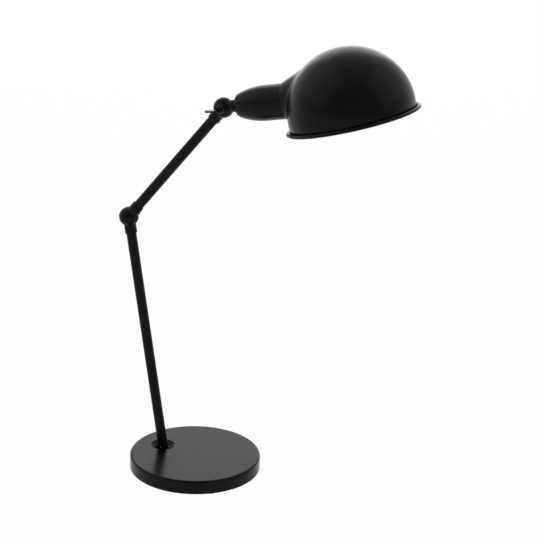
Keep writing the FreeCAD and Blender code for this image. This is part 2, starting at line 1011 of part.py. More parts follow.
def ball_half(name, side, clamp, front, stem=False):
    """Half of a ball joint about Y, its sleeve along +Z.

    side is -1 for the near half and 1 for the far half. clamp is true for the half
    that the lever presses on, which has a flat and a through hole; the other half is
    tapped and closed. front is the direction along X that the set screw faces.
    """
    gap = size.half_gap
    wide = size.ball_radius * 4
    own_side = -gap - wide if side < 0 else gap
    own_space = block(name + "_space", (-wide / 2, own_side, -wide / 2), (wide, wide, wide))
    body = ball(name + "_ball", size.ball_radius, along="y")
    lift = size.cup_lift if stem else 0 * size.cup_lift
    if stem:
        sleeve = rod(name + "_stem", size.stem_radius, cup_start, (-lift, 0, 0))
    else:
        sleeve = sleeve_with_edge(name)
    half = common(name + "_half", fuse(name + "_whole", body, sleeve), own_space)
    swept = ball(name + "_swept", size.ball_radius + size.air, along="y")
    outer_sleeve = cut(name + "_outer_sleeve", sleeve, swept)
    solid = fuse(name + "_solid", half, outer_sleeve)
    well_start = -gap - size.well_depth if side < 0 else gap
    well = flat_ring(
        name + "_well",
        size.well_outer,
        size.well_inner,
        size.well_depth,
        (0, well_start, 0),
    )
    way = rod(
        name + "_way",
        size.lead_hole,
        sleeve_floor - size.well_inner - 0.5,
        (-lift, size.lead_offset * side, size.well_inner + 0.5),
    )
    tools = [well, way]
    if clamp:
        hole_start = -wide / 2
        hole_length = wide
        flat_start = -ball_flat - wide if side < 0 else ball_flat
        low = (-wide / 2, flat_start, -wide / 2)
        tools.append(block(name + "_flat", low, (wide, wide, wide)))
    else:
        hole_length = size.lever_screw_depth + 1
        hole_start = -hole_length if side < 0 else 0
    screw_hole = size.lever_screw_radius + size.fit
    tools.append(rod(name + "_hole", screw_hole, hole_length, (0, hole_start, 0), "y"))
    if stem:
        start = (-lift, 0, nipple_start())
        tools.append(rod(name + "_bore", size.nipple_radius + size.fit, cup_start, start))
    else:
        start = (0, 0, sleeve_floor)
        tools.append(rod(name + "_bore", size.tube_radius + size.fit, sleeve_end, start))
        length = sleeve_radius * 2
        start = (0 if front > 0 else -length, 0, set_screw_place)
        tools.append(rod(name + "_tap", size.set_screw_radius + size.fit, length, start, "x"))
    return cut(name + "_cut", solid, *tools)


def sleeve_with_edge(name):
    sleeve = rod(name + "_sleeve", sleeve_radius, sleeve_end)
    end = ring_at(sleeve_radius, sleeve_end)
    edge = number(size.sleeve_edge)
    return rounded(name + "_sleeve_edge", sleeve, lambda e: (edge, edge) if end(e) else None)


def friction_ring(name):
    thickness = (size.half_gap - size.ring_play) * 2
    start = (0, -thickness / 2, 0)
    return flat_ring(name, ring_outer, size.ring_inner, thickness, start)


def lever_washer(name):
    inner = size.lever_screw_radius + size.fit
    start = (0, ball_flat, 0)
    return flat_ring(name, size.lever_washer_radius, inner, size.lever_washer, start)


def clamp_lever(name):
    """Clamp screw along +Y with a flat thumb plate whose long end points to -X."""
    body = doc.addObject("PartDesign::Body", name + "_plate")
    inner = lever_plate_start
    outer = lever_plate_start + size.lever_plate_width
    tip = size.lever_tip
    heel = size.lever_heel
    big = size.lever_corner_round
    tight = size.lever_tip_round
    small = size.lever_heel_round
    steps = [
        line_to(heel - small, inner),
        arc_to(heel, inner + small, small, 1),
        line_to(heel, outer - small * 2),
        arc_to(heel - small * 2, outer, small * 2, 1),
        line_to(big - tip, outer),
        arc_to(-tip, outer - big, big, 1),
        line_to(-tip, inner + tight),
        arc_to(tight - tip, inner, tight, 1),
    ]
    sketch = outline(body, name + "_plate_outline", steps, "XY_Plane")
    pad = body.newObject("PartDesign::Pad", name + "_plate_pad")
    pad.Profile = sketch
    pad.SideType = "Symmetric"
    pad.setExpression("Length", words(size.lever_plate_thickness))
    sketch.Visibility = False
    shank_start = -size.lever_screw_depth
    hub_start = ball_flat + size.lever_washer
    screw = rod(
        name + "_screw",
        size.lever_screw_radius,
        hub_start + size.lever_screw_depth + 1,
        (0, shank_start, 0),
        "y",
    )
    hub_sizes = {
        "Radius1": size.lever_hub_radius,
        "Radius2": size.lever_hub_end,
        "Height": size.lever_hub,
    }
    hub = primitive("Cone", name + "_hub", hub_sizes, (0, hub_start, 0), "y")
    return fuse(name + "_solid", body, screw, hub)


# ---------------------------------------------------------------- upper arm


def upper_tube():
    outside, inside = tube("upper", tube_stop(), size.upper_length - tube_stop())
    return cut("upper_tube_cut", outside, inside)


def upper_set_screws():
    radius = size.set_screw_radius
    length = set_screw_length()
    near = rod("upper_screw_near", radius, length, set_screw_start(0, 1), "x")
    far = rod("upper_screw_far", radius, length, set_screw_start(size.upper_length, -1), "x")
    return fuse("upper_set_screws_set", near, far)


def upper_lead():
    top = size.upper_length
    points = [
        (0, size.lead_offset, size.well_inner + 0.8),
        (0, size.lead_offset, sleeve_end + 20),
        (0, -size.lead_offset, top - sleeve_end - 20),
        (0, -size.lead_offset, top - size.well_inner - 0.8),
    ]
    return lead("upper_lead", points)


# ---------------------------------------------------------------- cup and lampholder


def nipple_start():
    """The nipple starts just outside the ball that the arm's half turns in."""
    return size.ball_radius + size.air * 2


def cup_nipple():
    start = nipple_start()
    length = size.holder_start + size.holder_back - start
    return flat_ring("nipple", size.nipple_radius, size.nipple_bore, length, (start, 0, 0), "x")


def cup_nut():
    start = (cup_start + size.cup_wall, 0, 0)
    flats = size.cup_nut_radius * math.sqrt(3)
    body = hexagon("cup_nut_hex", flats, size.cup_nut_height, start, "x")
    bore = rod("cup_nut_bore", size.nipple_radius + size.fit, size.cup_nut_height, start, "x")
    return cut("cup_nut_cut", body, bore)


def cup_outline(inset):
    """Points of the cup's outer surface, or of the surface this far inside it."""
    slope = size.cup_shoulder_slope
    nose = size.cup_nose_round
    start = cup_start
    flat = size.cup_nose_flat
    rise = cup_radius - flat - nose * cosine(slope)
    shoulder = rise / (1 - cosine(slope))
    first = (start + inset, flat)
    second = (
        start + nose - (nose - inset) * sine(slope),
        flat + (nose - inset) * cosine(slope),
    )
    centre = start + nose - nose * sine(slope) + shoulder * sine(slope)
    third = (centre, cup_radius - inset)
    return first, second, third, nose - inset, shoulder - inset


def socket_cup():
    first, second, third, nose, shoulder = cup_outline(0)
    deep_first, deep_second, deep_third, deep_nose, deep_shoulder = cup_outline(size.cup_wall)
    hole = size.nipple_radius + size.fit
    steps = [
        line_to(cup_start, hole),
        line_to(*first),
        arc_to(*second, nose, -1),
        arc_to(*third, shoulder, -1),
        line_to(size.cup_end, cup_radius),
        line_to(size.cup_end, cup_radius - size.cup_wall),
        line_to(*deep_third),
        arc_to(*deep_second, deep_shoulder, 1),
        arc_to(*deep_first, deep_nose, 1),
        line_to(cup_start + size.cup_wall, hole),
    ]
    body = turned("cup", steps, about="x")
    return cut("socket_cup_cut", body, nose_plan("cup_trim", -size.air))


def lampholder_body():
    back = size.holder_start + size.holder_back
    bridge = size.holder_bridge
    bore = size.thread_radius + size.thread_sheet + size.fit
    chamber = size.holder_radius - size.holder_wall
    hole = size.nipple_radius + size.fit
    steps = [
        line_to(size.holder_start, hole),
        line_to(size.holder_start, size.holder_radius - size.holder_back),
        line_to(back, size.holder_radius),
        line_to(size.holder_end, size.holder_radius),
        line_to(size.holder_end, bore),
        line_to(bridge + size.holder_back, bore),
        line_to(bridge + size.holder_back, size.contact_bore),
        line_to(bridge, size.contact_bore),
        line_to(bridge, chamber),
        line_to(back, chamber),
        line_to(back, hole),
    ]
    return turned("lampholder", steps, about="x")


def thread_shell():
    start = size.holder_bridge + size.holder_back
    length = size.holder_end - size.thread_rest - start
    outer = size.thread_radius + size.thread_sheet
    return flat_ring("thread", outer, size.thread_radius, length, (start, 0, 0), "x")


def centre_contact():
    start = size.holder_bridge
    stem = size.contact_bore - size.fit
    steps = [
        line_to(start - 4, 0),
        line_to(start - 4, stem),
        line_to(start + size.holder_back, stem),
        line_to(start + size.holder_back, size.contact_bore * 2),
        line_to(start + size.holder_back + 1, size.contact_bore * 2),
        line_to(start + size.holder_back + size.contact_height, stem),
        line_to(start + size.holder_back + size.contact_height, 0),
    ]
    return turned("contact", steps, about="x")


def shade_ring():
    bow = size.nose_bow - size.shade_sheet
    hollow = size.holder_radius + size.air * 2
    sag = bow - root(bow * bow - hollow * hollow)
    start = size.nose_start + size.shade_sheet + sag
    outer = size.holder_radius + size.shade_ring_flange
    body = rod("shade_ring_solid", outer, size.shade_ring_width, (start, 0, 0), "x")
    bore = rod(
        "shade_ring_bore",
        size.holder_radius + size.fit,
        size.shade_ring_width + 2,
        (start - 1, 0, 0),
        "x",
    )
    trim = nose_wall_trim()
    return cut("shade_ring_cut", body, bore, trim)


def nose_wall_trim():
    """What lies on the outer side of the bowed wall's inner face."""
    around = block("ring_trim_block", (0, -60, -60), (size.nose_start + 40, 120, 120))
    inside = nose_plan("ring_trim", size.shade_sheet + size.fit)
    return cut("ring_trim_cut", around, inside)


def head_lead():
    points = [
        (size.well_inner + 0.8, size.lead_offset, 0),
        (nipple_start() - 1, size.lead_offset, 0),
        (cup_start - 1, 0.6, 0),
        (cup_start + 8, 0, 0),
        (size.holder_bridge - 8, 0, 0),
    ]
    return lead("head_lead", points)


# ---------------------------------------------------------------- bulb


def bulb_start():
    return size.holder_bridge + size.holder_back + size.contact_height


def bulb_contact():
    return pin("bulb_button", size.button_radius, size.button_height)


def bulb_cap():
    start = bulb_start() + size.button_height
    floor = start + size.cap_floor
    end = start + size.cap_length
    radius = size.cap_radius
    steps = [
        line_to(start, 0),
        line_to(start, size.button_radius),
        line_to(floor, radius),
        line_to(end, radius),
        line_to(end, radius - size.cap_wall),
        line_to(floor, radius - size.cap_wall),
        line_to(floor, 0),
    ]
    return turned("cap", steps, about="x")


def bulb_glass():
    neck_start = bulb_start() + size.button_height + size.cap_length
    tip = bulb_start() + size.bulb_length
    radius = size.bulb_radius
    centre = tip - radius
    lean = 30
    throat = radius * 1.6
    wall = size.bulb_glass_wall
    inner = radius - wall
    neck = size.cap_radius - size.cap_wall - size.fit
    steps = [
        line_to(neck_start - size.bulb_neck_grip, neck - wall),
        line_to(neck_start - size.bulb_neck_grip, neck),
        line_to(neck_start, neck),
        arc_to(centre - radius * sine(lean), radius * cosine(lean), throat, 1),
        arc_to(centre, radius, radius, -1),
        arc_to(tip, 0, radius, -1),
        line_to(tip - wall, 0),
        arc_to(centre, inner, inner, 1),
        arc_to(centre - inner * sine(lean), inner * cosine(lean), inner, 1),
        arc_to(neck_start, neck - wall, throat + wall, -1),
    ]
    return turned("glass", steps, about="x")


# ---------------------------------------------------------------- shade


def nose_plan(name, inset):
    """Everything in front of the bowed face that the cup's end butts against."""
    start = size.nose_start + inset
    bow = size.nose_bow - inset
    tall = 160
    face = rod(name + "_bow", bow, tall, (start + bow, 0, -tall / 2))
    rest = block(name + "_rest", (start + bow, -tall, -tall / 2), (tall, tall * 2, tall))
    return fuse(name + "_plan", face, rest)


def nose_cone(name, inset):
    """The nose is a cone whose underside runs level and whose top rises to the dome.

    It comes back with a test for points on its surface. Distances run from the tip of
    the outer cone; inset moves the surface in without moving the ends.
    """
    half = size.nose_rise / 2
    spread = sine(half) / cosine(half)
    reach = nose_radius * 2 * cosine(size.nose_rise) / sine(size.nose_rise)
    shift = inset / sine(half)
    low = reach * 0.9
    high = reach * 1.6
    cone = doc.addObject("Part::Cone", name)
    cone.setExpression("Radius1", words((low - shift) * spread))
    cone.setExpression("Radius2", words((high - shift) * spread))
    cone.setExpression("Height", words(high - low))
    start = size.nose_start - reach
    foot = (start + low * cosine(half), 0, low * sine(half) - nose_radius)
    placed(cone, foot, "x")
    cone.Placement = at(*foot, turn_about_y(90 - number(half)))
    tip = FreeCAD.Vector(number(start), 0, -number(nose_radius))
    axis = FreeCAD.Vector(number(cosine(half)), 0, number(sine(half)))

    def on_cone(point):
        along = (point - tip).dot(axis)
        away = (point - tip - axis * along).Length
        return abs(away - (along - number(shift)) * number(spread)) < 0.001

    return cone, on_cone


def shade_form(name, inset):
    """Dome and nose as one solid, the flare between them wide above and tight below."""
    dome_radius = size.dome_radius - inset
    centre = (dome_reach, 0, -size.dome_drop)
    dome = ball(name + "_dome", dome_radius, centre)
    cone, on_cone = nose_cone(name + "_cone", inset)
    nose = common(name + "_nose", cone, nose_plan(name, inset))
    whole = fuse(name + "_whole", dome, nose)
    wide = 400
    quarters = [
        common(
            f"{name}_quarter_{i}",
            whole,
            block(f"{name}_space_{i}", (-wide / 2, y, z), (wide * 2, wide, wide)),
        )
        for i, (y, z) in enumerate([(-wide, 0), (0, 0), (-wide, -wide), (0, -wide)])
    ]
    joined = fuse(name + "_joined", *quarters, refine=False)
    middle = FreeCAD.Vector(*[number(amount) for amount in centre])
    on_dome = number(dome_radius)
    flares = {
        1: number(size.flare_top + inset),
        0: number(size.flare_side + inset),
        -1: number(size.flare_bottom + inset),
    }

    def flare(edge):
        on_both = all(
            abs((point - middle).Length - on_dome) < 0.001 and on_cone(point)
            for point in points_on(edge)
        )
        if not on_both:
            return None
        ends = [vertex.Point.z for vertex in (edge.firstVertex(), edge.lastVertex())]
        return tuple(flares[(end > 1) - (end < -1)] for end in ends)

    flared = rounded(name + "_flared", joined, flare)
    bow = number(size.nose_bow - inset)
    bow_centre = number(size.nose_start + inset) + bow
    lip = number(size.nose_lip - inset)

    def front(edge):
        on_both = all(
            abs(math.hypot(point.x - bow_centre, point.y) - bow) < 0.001 and on_cone(point)
            for point in points_on(edge)
        )
        return (lip, lip) if on_both else None

    return rounded(name + "_lipped", flared, front)


def rim_bead():
    """The shade's lower edge: it turns outwards and curls up into a bead."""
    sheet = size.shade_sheet
    level = -size.dome_skirt
    joint = level + 1
    outer = root(size.dome_radius * size.dome_radius - joint * joint)
    deep = size.dome_radius - sheet
    inner = root(deep * deep - joint * joint)
    level_radius = root(size.dome_radius * size.dome_radius - level * level)
    centre = level_radius + size.bead_reach
    big = size.bead_radius
    small = size.bead_radius - sheet
    turn = size.bead_turn
    wide_turn = turn + sheet
    bottom = level - big
    middle, end = 35, 160
    steps = [
        line_to(inner, joint),
        line_to(inner, bottom + wide_turn),
        arc_to(inner + wide_turn, bottom, wide_turn, 1),
        line_to(centre, bottom),
        arc_to(centre + big * cosine(middle), level + big * sine(middle), big, 1),
        arc_to(centre + big * cosine(end), level + big * sine(end), big, 1),
        line_to(centre + small * cosine(end), level + small * sine(end)),
        arc_to(centre + small * cosine(middle), level + small * sine(middle), small, -1),
        arc_to(centre, level - small, small, -1),
        line_to(outer + turn, level - small),
        arc_to(outer, level - small + turn, turn, -1),
        line_to(outer, joint),
    ]
    return turned("bead", steps)


def in_dome_frame(item):
    """Place something that was drawn about the dome's centre and axis."""
    item.Placement = at(dome_reach, 0, -size.dome_drop, turn_about_y(-size.dome_pitch))
    return item


def shade():
    outside = shade_form("outer", 0)
    inside = shade_form("inner", size.shade_sheet)
    wide = 400
    below = block("below_rim", (0, 0, 0), (wide, wide, wide))
    for letter in "xyz":
        below.setExpression(f"Placement.Base.{letter}", None)
    corner = at(-wide / 2, -wide / 2, -number(size.dome_skirt) + 1 - wide)
    frame = at(dome_reach, 0, -size.dome_drop, turn_about_y(-size.dome_pitch))
    below.Placement = frame * corner
    start = (size.nose_start - 5, 0, 0)
    hole = rod("shade_hole", size.holder_radius + size.air * 2, 20, start, "x")
    shell = cut("shade_shell", outside, inside, below, hole)
    return fuse("shade_with_bead", shell, in_dome_frame(rim_bead()))


# ---------------------------------------------------------------- assembly

node(base_shell(), "base_shell")
node(base_weight(), "base_weight")
node(bottom_plate(), "bottom_plate")
node(rubber_feet(), "rubber_feet")
node(base_screws(), "base_screws")
node(cord_grommet(), "cord_grommet", at(0, 0, size.grommet_height))
node(terminal_block(), "terminal_block")
node(terminal_screws(), "terminal_screws")
node(base_lead(), "base_lead")
node(pivot_bracket(), "pivot_bracket")
node(bracket_rivets(), "bracket_rivets")
node(pivot_bolt(), "pivot_bolt")
node(pivot_nut(), "pivot_nut")
node(pivot_spring_washer(), "pivot_spring_washer")
node(pivot_friction_discs(), "pivot_friction_discs")

node(arm_foot(), "arm_foot", LOWER)
pin_start = at(0, size.air - size.tube_radius, size.plug_pin_height, TURN["y"])
node(foot_pin(), "foot_pin", LOWER * pin_start)
node(lower_tube(), "lower_tube", LOWER)
node(ball_half("lower_half", -1, False, -1), "elbow_lower_half", ELBOW * FLIP)
screw_start = at(*set_screw_start(size.lower_length, -1), TURN["x"])
lower_screw = pin("lower_screw", size.set_screw_radius, set_screw_length())
node(lower_screw, "lower_set_screw", LOWER * screw_start)
node(friction_ring("elbow_ring"), "elbow_friction_ring", ELBOW)
node(lower_lead(), "lower_lead", LOWER)

node(ball_half("upper_half", 1, True, 1), "elbow_upper_half", UPPER)
node(upper_tube(), "upper_tube", UPPER)
node(ball_half("arm_half", -1, True, -1), "knuckle_arm_half", KNUCKLE * FLIP)
node(upper_set_screws(), "upper_set_screws", UPPER)
node(upper_lead(), "upper_lead", UPPER)
node(lever_washer("elbow_washer"), "elbow_lever_washer", at(*ELBOW.Base))
near_side = FreeCAD.Rotation(FreeCAD.Vector(1, 0, 0), 180)
node(lever_washer("head_washer"), "head_lever_washer", at(*KNUCKLE.Base, near_side))
elbow_turn = turn_about_y(size.elbow_lever_turn)
node(clamp_lever("elbow_lever"), "elbow_lever", at(*ELBOW.Base, elbow_turn))
head_turn = turn_about_y(-size.head_lever_turn) * near_side
node(clamp_lever("head_lever"), "head_lever", at(*KNUCKLE.Base, head_turn))

STEM = HEAD * at(0, 0, 0, TURN["x"])
CUP = HEAD * at(0, 0, size.cup_lift)
node(ball_half("head_half", 1, False, 1, stem=True), "knuckle_head_half", STEM)
node(friction_ring("head_ring"), "head_friction_ring", HEAD)
node(head_lead(), "head_lead", CUP)
node(cup_nipple(), "cup_nipple", CUP)
node(cup_nut(), "cup_nut", CUP)
node(socket_cup(), "socket_cup", CUP)
node(lampholder_body(), "lampholder_body", CUP)
node(thread_shell(), "thread_shell", CUP)
node(centre_contact(), "centre_contact", CUP)
node(shade_ring(), "shade_ring", CUP)
node(shade(), "shade", CUP)
node(bulb_glass(), "bulb_glass", CUP)
node(bulb_cap(), "bulb_cap", CUP)
node(bulb_contact(), "bulb_contact", CUP * at(bulb_start(), 0, 0, TURN["x"]))

doc.recompute()

for item in doc.Objects:
    if "Invalid" in item.State or "Error" in item.State:
        raise RuntimeError(f"{item.Label} did not recompute: {item.State}")
for item in NODES:
    shape = item.Shape
    if shape.isNull() or not shape.isValid() or not shape.Solids:
        raise RuntimeError(f"{item.Label} is not a valid solid")

for item in NODES:
    item.Shape.exportStep(f"parts/{item.Label}.step")
    print(f"{item.Label}: {len(item.Shape.Solids)} solid, {item.Shape.Volume / 1000:.3f} cm3")
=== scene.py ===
# %% [markdown]
# # A black desk lamp with a dome shade
#
# The lamp is a heavy round base, two thin steel arms that meet in round knuckles, and a
# spun steel dome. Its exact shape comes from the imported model, which stays as it is.
# What Blender adds is what the eye reads as "real": the satin skin of the powder coat,
# the threads and screw recesses that are too fine for the model, and a plain studio.
# We start by loading the model and keeping its size, so that nothing drawn later can
# quietly make the lamp bigger.

# %% Load the frame
import math

import bmesh
import bpy
from mathutils import Matrix, Vector


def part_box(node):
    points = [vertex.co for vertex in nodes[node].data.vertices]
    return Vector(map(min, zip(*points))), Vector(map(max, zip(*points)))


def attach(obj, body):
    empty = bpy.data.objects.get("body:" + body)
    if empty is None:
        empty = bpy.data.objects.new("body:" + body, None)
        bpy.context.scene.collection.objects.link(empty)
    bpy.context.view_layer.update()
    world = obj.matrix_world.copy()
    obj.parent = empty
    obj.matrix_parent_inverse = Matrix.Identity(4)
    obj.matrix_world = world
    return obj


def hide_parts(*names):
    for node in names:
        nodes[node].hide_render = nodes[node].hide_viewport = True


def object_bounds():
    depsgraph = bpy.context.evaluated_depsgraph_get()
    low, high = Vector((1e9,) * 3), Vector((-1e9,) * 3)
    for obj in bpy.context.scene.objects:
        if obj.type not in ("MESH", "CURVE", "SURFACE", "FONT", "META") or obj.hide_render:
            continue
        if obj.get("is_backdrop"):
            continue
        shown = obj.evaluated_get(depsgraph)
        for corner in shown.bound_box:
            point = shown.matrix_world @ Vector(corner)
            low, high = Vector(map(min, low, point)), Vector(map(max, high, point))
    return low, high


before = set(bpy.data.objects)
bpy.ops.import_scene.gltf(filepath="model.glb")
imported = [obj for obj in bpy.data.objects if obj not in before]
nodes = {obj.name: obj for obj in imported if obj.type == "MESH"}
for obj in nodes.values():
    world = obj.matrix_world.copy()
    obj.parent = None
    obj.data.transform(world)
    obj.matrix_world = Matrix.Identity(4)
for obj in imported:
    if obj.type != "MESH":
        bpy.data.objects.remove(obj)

cad_low, cad_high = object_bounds()
print("size in mm", [round((high - low) * 1000, 1) for low, high in zip(cad_low, cad_high)])

MM = 0.001

# %% [markdown]
# ## The camera
#
# The photograph was taken from a little above and from beside the lamp, turned some 27
# degrees towards the shade's end. Its place was found by matching known edges of the
# lamp, such as the base's rim and the two arms, to the picture. A long lens from 2.6 m
# away keeps the arms from converging. The camera is written as a point that it looks at,
# two angles, a distance and a small roll, because those are the numbers that a
# photographer would change. The lens is its focal length counted in points of the
# picture, which turns to millimetres through the width of film and picture.

# %% Camera
DISTANCE = 2.6
AZIMUTH = math.radians(26.832)
ELEVATION = math.radians(19.89)
ROLL = math.radians(1.738)
TARGET_ACROSS, TARGET_HEIGHT = 0.101462, 0.309564
FILM_MM, PICTURE_POINTS, FOCAL_POINTS = 36, 540, 1842.432
NEAREST, FURTHEST = 0.05, 50

target = Vector((TARGET_ACROSS * math.cos(AZIMUTH), TARGET_ACROSS * math.sin(AZIMUTH),
                 TARGET_HEIGHT))

back = Vector((
    math.sin(AZIMUTH) * math.cos(ELEVATION),
    -math.cos(AZIMUTH) * math.cos(ELEVATION),
    math.sin(ELEVATION),
))
level = Vector((math.cos(AZIMUTH), math.sin(AZIMUTH), 0))
upright = back.cross(level)
right = level * math.cos(ROLL) + upright * math.sin(ROLL)
up = upright * math.cos(ROLL) - level * math.sin(ROLL)

camera = bpy.data.objects.new("studio_camera", bpy.data.cameras.new("studio_camera"))
bpy.context.scene.collection.objects.link(camera)
bpy.context.scene.camera = camera
camera.data.sensor_width = FILM_MM
camera.data.lens = FILM_MM * FOCAL_POINTS / PICTURE_POINTS
camera.data.clip_start, camera.data.clip_end = NEAREST, FURTHEST
turn = Matrix((right, up, back)).transposed().to_4x4()
camera.matrix_world = Matrix.Translation(target + back * DISTANCE) @ turn
print("camera", [round(value, 3) for value in camera.location], "lens", round(camera.data.lens, 1))

# %% [markdown]
# ## Two small helpers
#
# Colours are written as hex numbers, the way a paint card or a web page gives them.
# Blender mixes light in linear numbers, so one function turns the first into the second.
# A material is a handful of connected nodes. One more function adds a node, sets its
# options, and fills or connects its sockets, which keeps every recipe below short.

# %% Colour and node helpers


def linear(colour):
    """Linear red, green, blue and alpha of a hex colour such as '8a8d90'."""
    parts = [int(colour[i : i + 2], 16) / 255 for i in (0, 2, 4)]
    return (*(p / 12.92 if p <= 0.04045 else ((p + 0.055) / 1.055) ** 2.4 for p in parts), 1)


def add(tree, kind, settings=None, **inputs):
    """A node of that kind. An input's value is a number, a colour or another output.

    An input's name is its socket's name in small letters, with _ for a space, or s and
    the socket's number where two share a name.
    """
    node = tree.nodes.new(kind)
    for name, value in (settings or {}).items():
        setattr(node, name, value)
    by_name = {socket.name.lower().replace(" ", "_"): socket for socket in reversed(node.inputs)}
    for name, value in inputs.items():
        numbered = name[0] == "s" and name[1:].isdigit()
        socket = node.inputs[int(name[1:])] if numbered else by_name[name]
        if isinstance(value, bpy.types.NodeSocket):
            tree.links.new(value, socket)
        else:
            socket.default_value = value
    return node


def new_material(name):
    """An empty material, its node tree and its Object coordinates."""
    material = bpy.data.materials.new(name)
    material.use_nodes = True
    tree = material.node_tree
    tree.nodes.clear()
    return material, tree, add(tree, "ShaderNodeTexCoord").outputs["Object"]


def noise(tree, place, grain_mm, detail=2.0, rough=0.5):
    """Soft noise whose blobs are about grain_mm across."""
    made = add(tree, "ShaderNodeTexNoise", vector=place, scale=1 / (grain_mm * MM),
               detail=detail, roughness=rough)
    return made.outputs[0]


def ramp(tree, factor, low, high, start=0.3, end=0.7):
    """A value or colour that goes from low to high as factor passes start and end."""
    kind = "RGBA" if isinstance(low, tuple) else "FLOAT"
    spread = add(tree, "ShaderNodeMapRange", s0=factor, s1=start, s2=end).outputs[0]
    if kind == "FLOAT":
        return add(tree, "ShaderNodeMapRange", s0=spread, s3=low, s4=high).outputs[0]
    return add(tree, "ShaderNodeMix", {"data_type": "RGBA"},
               s0=spread, s6=low, s7=high).outputs[2]


def finish_material(material, tree, surface, height=None, depth_mm=0.0, **inputs):
    """Ends a recipe: the shader, its bump of that real depth, and the output."""
    if height is not None:
        inputs["normal"] = add(tree, "ShaderNodeBump", height=height, distance=depth_mm * MM,
                               strength=1.0).outputs[0]
    shader = add(tree, "ShaderNodeBsdfPrincipled", base_color=surface, **inputs)
    add(tree, "ShaderNodeOutputMaterial", surface=shader.outputs[0])
    return material


def dress(material, *names):
    """Gives that material to the model's nodes."""
    for name in names:
        nodes[name].material_slots[0].material = material
    print(material.name, "on", len(names), "nodes")


print("hex 808080 is", round(linear("808080")[0], 4), "in linear light")

# %% [markdown]
# ## The studio
#
# A black lamp is mostly a mirror of the room around it, only a very weak one. So the
# room matters more than the lamps in it: a white floor and a white surround give the
# even brightening towards the edges that the photograph shows. The room is dimmer on the
# camera's side, as a studio is behind the photographer, so faces that look at the lens
# stay dark. The floor is an ordinary matte white. The camera sees the surround, and most
# of the floor's tone, as clean paper white through Light Path. What is left of the floor's
# own tone keeps a faint shadow where the lamp stands. From underneath the floor is clear,
# so that the base can be looked at from below.

# %% Surround and floor
scene = bpy.context.scene
scene.view_settings.view_transform = "Standard"

AMBIENT = 0.75
DIM_SIDE = 0.45
CAMERA_SIDE = (0.45, -0.89, 0.0)
BRIGHT_FROM, DIM_FROM = -0.6, 0.7
CLEAN_SHARE = 0.95
FLOOR_HALF = 30.0


def seen_directly(tree):
    """1 for rays from the camera, or by way of gloss or glass, and 0 for diffuse light."""
    path = add(tree, "ShaderNodeLightPath").outputs
    either = add(tree, "ShaderNodeMath", {"operation": "MAXIMUM"},
                 s0=path["Is Camera Ray"], s1=path["Is Glossy Ray"]).outputs[0]
    return add(tree, "ShaderNodeMath", {"operation": "MAXIMUM"},
               s0=either, s1=path["Is Transmission Ray"]).outputs[0]


world = bpy.data.worlds.new("white_surround")
world.use_nodes = True
scene.world = world
tree = world.node_tree
tree.nodes.clear()
direction = add(tree, "ShaderNodeTexCoord").outputs["Generated"]
forward = add(tree, "ShaderNodeVectorMath", {"operation": "DOT_PRODUCT"},
              s0=direction, s1=CAMERA_SIDE).outputs["Value"]
room = add(tree, "ShaderNodeMapRange", {"interpolation_type": "SMOOTHSTEP"},
           s0=forward, s1=BRIGHT_FROM, s2=DIM_FROM, s3=1.0, s4=DIM_SIDE).outputs[0]
straight = add(tree, "ShaderNodeLightPath").outputs["Is Camera Ray"]
shown = add(tree, "ShaderNodeMix", s0=straight, s2=room, s3=1.0).outputs[0]
level_of_light = add(tree, "ShaderNodeMapRange", s0=seen_directly(tree),
                     s3=AMBIENT, s4=1.0).outputs[0]
strength = add(tree, "ShaderNodeMath", {"operation": "MULTIPLY"},
               s0=shown, s1=level_of_light).outputs[0]
paper = add(tree, "ShaderNodeBackground", color=(1, 1, 1, 1), strength=strength)
add(tree, "ShaderNodeOutputWorld", surface=paper.outputs[0])

floor_material, tree, place = new_material("matte_white_floor")
matte = add(tree, "ShaderNodeBsdfDiffuse", color=linear("fdfdfd")).outputs[0]
clean = add(tree, "ShaderNodeEmission", color=(1, 1, 1, 1), strength=1.0).outputs[0]
share = add(tree, "ShaderNodeMath", {"operation": "MULTIPLY"},
            s0=seen_directly(tree), s1=CLEAN_SHARE)
both = add(tree, "ShaderNodeMixShader", s0=share.outputs[0], s1=matte, s2=clean).outputs[0]
under = add(tree, "ShaderNodeNewGeometry").outputs["Backfacing"]
glassy = add(tree, "ShaderNodeBsdfTransparent").outputs[0]
sided = add(tree, "ShaderNodeMixShader", s0=under, s1=both, s2=glassy).outputs[0]
add(tree, "ShaderNodeOutputMaterial", surface=sided)

floor_mesh = bpy.data.meshes.new("studio_floor")
floor_mesh.from_pydata([(x * FLOOR_HALF, y * FLOOR_HALF, 0)
                        for x, y in ((-1, -1), (1, -1), (1, 1), (-1, 1))], [], [(0, 1, 2, 3)])
floor = bpy.data.objects.new("studio_floor", floor_mesh)
scene.collection.objects.link(floor)
floor_mesh.materials.append(floor_material)
floor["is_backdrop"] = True
print("floor", 2 * FLOOR_HALF, "m wide, surround at", AMBIENT)

# %% [markdown]
# ## Three soft boxes
#
# The lamps are large, because a small one would show as a hard spot on the dome. The key
# stands high at the left of the picture, the fill high at the right, and the back box
# behind the lamp, where it draws the pale edges of the dome and the cup. Their levels are
# plain numbers, and the camera doesn't see the boxes themselves.

# %% Soft boxes


def soft_box(name, place, aim, width, watts):
    """A square lamp behind white cloth, turned towards a point on the desk lamp."""
    lamp = bpy.data.objects.new(name, bpy.data.lights.new(name, "AREA"))
    lamp.data.shape = "SQUARE"
    lamp.data.size = width
    lamp.data.energy = watts
    lamp.location = place
    lamp.rotation_euler = (Vector(aim) - Vector(place)).to_track_quat("-Z", "Y").to_euler()
    lamp.visible_camera = False
    scene.collection.objects.link(lamp)
    print(name, width, "m,", watts, "W")


